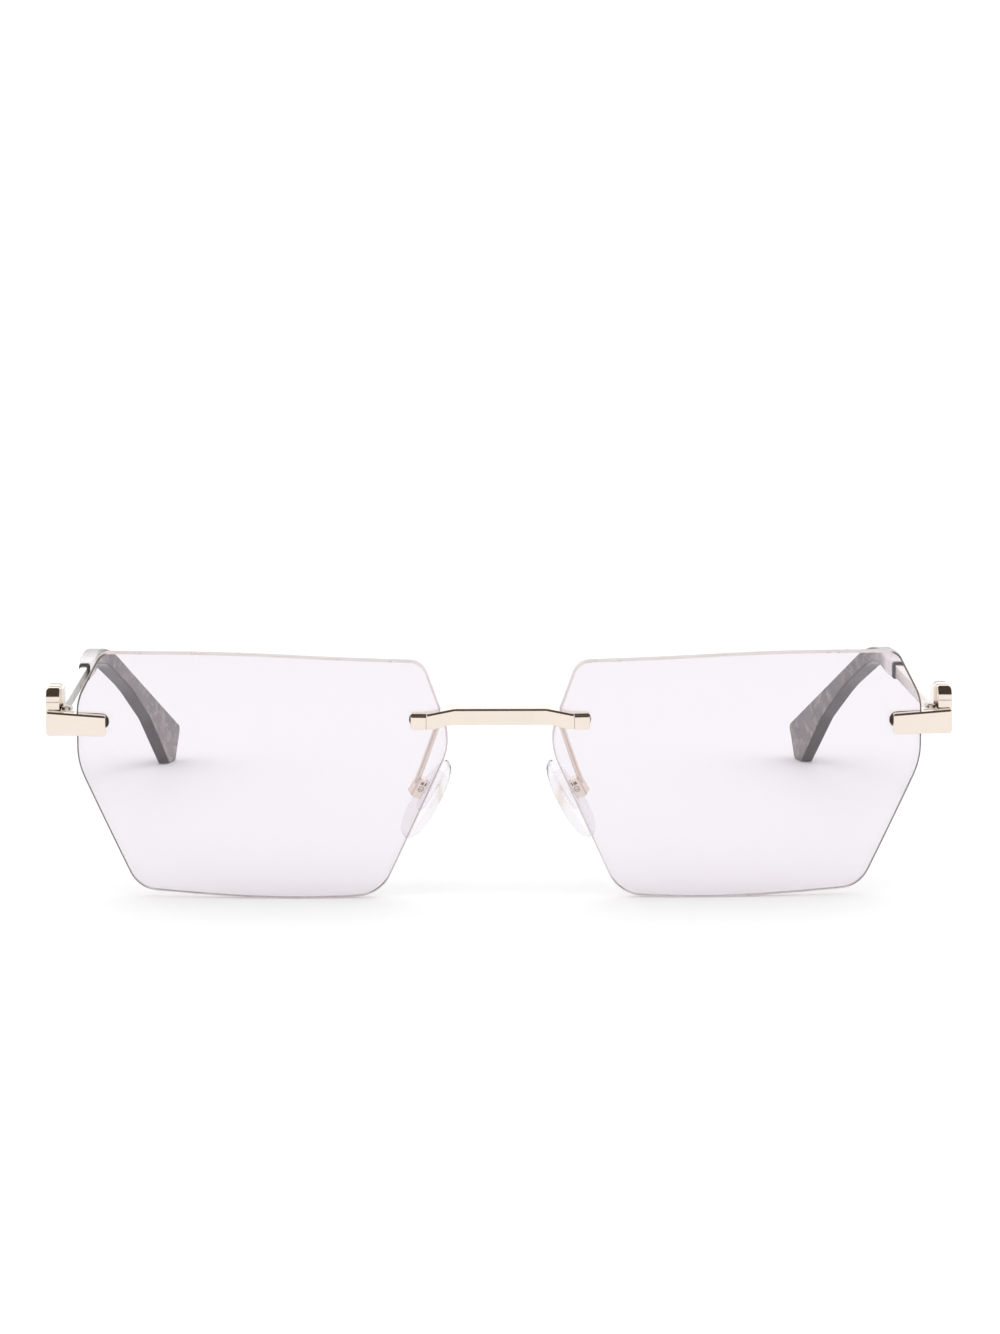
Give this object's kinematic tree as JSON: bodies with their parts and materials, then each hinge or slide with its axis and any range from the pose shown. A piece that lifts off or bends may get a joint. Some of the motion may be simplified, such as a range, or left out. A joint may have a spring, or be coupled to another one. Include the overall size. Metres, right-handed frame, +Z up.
{
  "type": "rimless eyeglasses",
  "caption": "Rimless eyeglasses with drilled geometric lenses, a flat metal bridge and endpieces, adjustable nose pads and folding temples with acetate tips.",
  "frame": {"origin": "bottom centre of the glasses' box as they stand open on the lenses' lower edges and the temple tips", "axes": "+X to the wearer's left, +Y back towards the ears, +Z up"},
  "size_m": [0.1428, 0.153, 0.0395],
  "materials": {
    "lens_glass": "polished clear lens with a very pale lilac tint",
    "gold_metal": "pale champagne gold plating, polished",
    "screw_steel": "bright machined steel",
    "clear_sleeve": "clear plastic",
    "nylon_washer": "natural nylon",
    "pad_silicone": "clear soft silicone",
    "pad_core_plastic": "clear stiff plastic",
    "dark_ring": "black lacquer",
    "acetate": "polished grey-brown mottled acetate"
  },
  "bodies": {
    "front": {"bridge": "gold_metal", "lens_left": "lens_glass", "lens_right": "lens_glass", "lens_sleeves_left": "clear_sleeve", "lens_sleeves_right": "clear_sleeve", "bridge_clamp_screw_left": "screw_steel", "bridge_clamp_screw_right": "screw_steel", "endpiece_clamp_screw_left": "screw_steel", "endpiece_clamp_screw_right": "screw_steel", "bridge_back_plate_left": "gold_metal", "bridge_back_plate_right": "gold_metal", "endpiece_back_plate_left": "gold_metal", "endpiece_back_plate_right": "gold_metal", "pad_arm_left": "gold_metal", "pad_arm_right": "gold_metal", "pad_box_left": "gold_metal", "pad_box_right": "gold_metal", "pad_screw_left": "screw_steel", "pad_screw_right": "screw_steel", "endpiece_left": "gold_metal", "endpiece_right": "gold_metal", "endpiece_knuckles_left": "gold_metal", "endpiece_knuckles_right": "gold_metal", "hinge_washers_left": "nylon_washer", "hinge_washers_right": "nylon_washer", "hinge_screw_left": "screw_steel", "hinge_screw_right": "screw_steel"},
    "temple_left": {"temple_knuckle_left": "gold_metal", "temple_block_left": "gold_metal", "temple_bar_left": "gold_metal", "tip_collar_left": "dark_ring", "temple_tip_left": "acetate"},
    "temple_right": {"temple_knuckle_right": "gold_metal", "temple_block_right": "gold_metal", "temple_bar_right": "gold_metal", "tip_collar_right": "dark_ring", "temple_tip_right": "acetate"},
    "pad_left": {"pad_core_left": "pad_core_plastic", "nose_pad_left": "pad_silicone"},
    "pad_right": {"pad_core_right": "pad_core_plastic", "nose_pad_right": "pad_silicone"}
  },
  "joints": [
    {"name": "temple_left_fold", "type": "hinge", "parent": "front", "child": "temple_left", "pos_m": [0.0682, -0.06687, 0.028], "axis": [0, 0, 1], "range_deg": [0, 86]},
    {"name": "temple_right_fold", "type": "hinge", "parent": "front", "child": "temple_right", "pos_m": [-0.0682, -0.06687, 0.028], "axis": [0, 0, -1], "range_deg": [0, 74]},
    {"name": "pad_left_rock", "type": "hinge", "parent": "front", "child": "pad_left", "pos_m": [0.0128, -0.06211, 0.01658], "axis": [0.3388, 0.8784, 0.337], "range_deg": [-10, 10]},
    {"name": "pad_right_rock", "type": "hinge", "parent": "front", "child": "pad_right", "pos_m": [-0.0128, -0.06211, 0.01658], "axis": [-0.3388, 0.8784, 0.337], "range_deg": [-10, 10]}
  ]
}
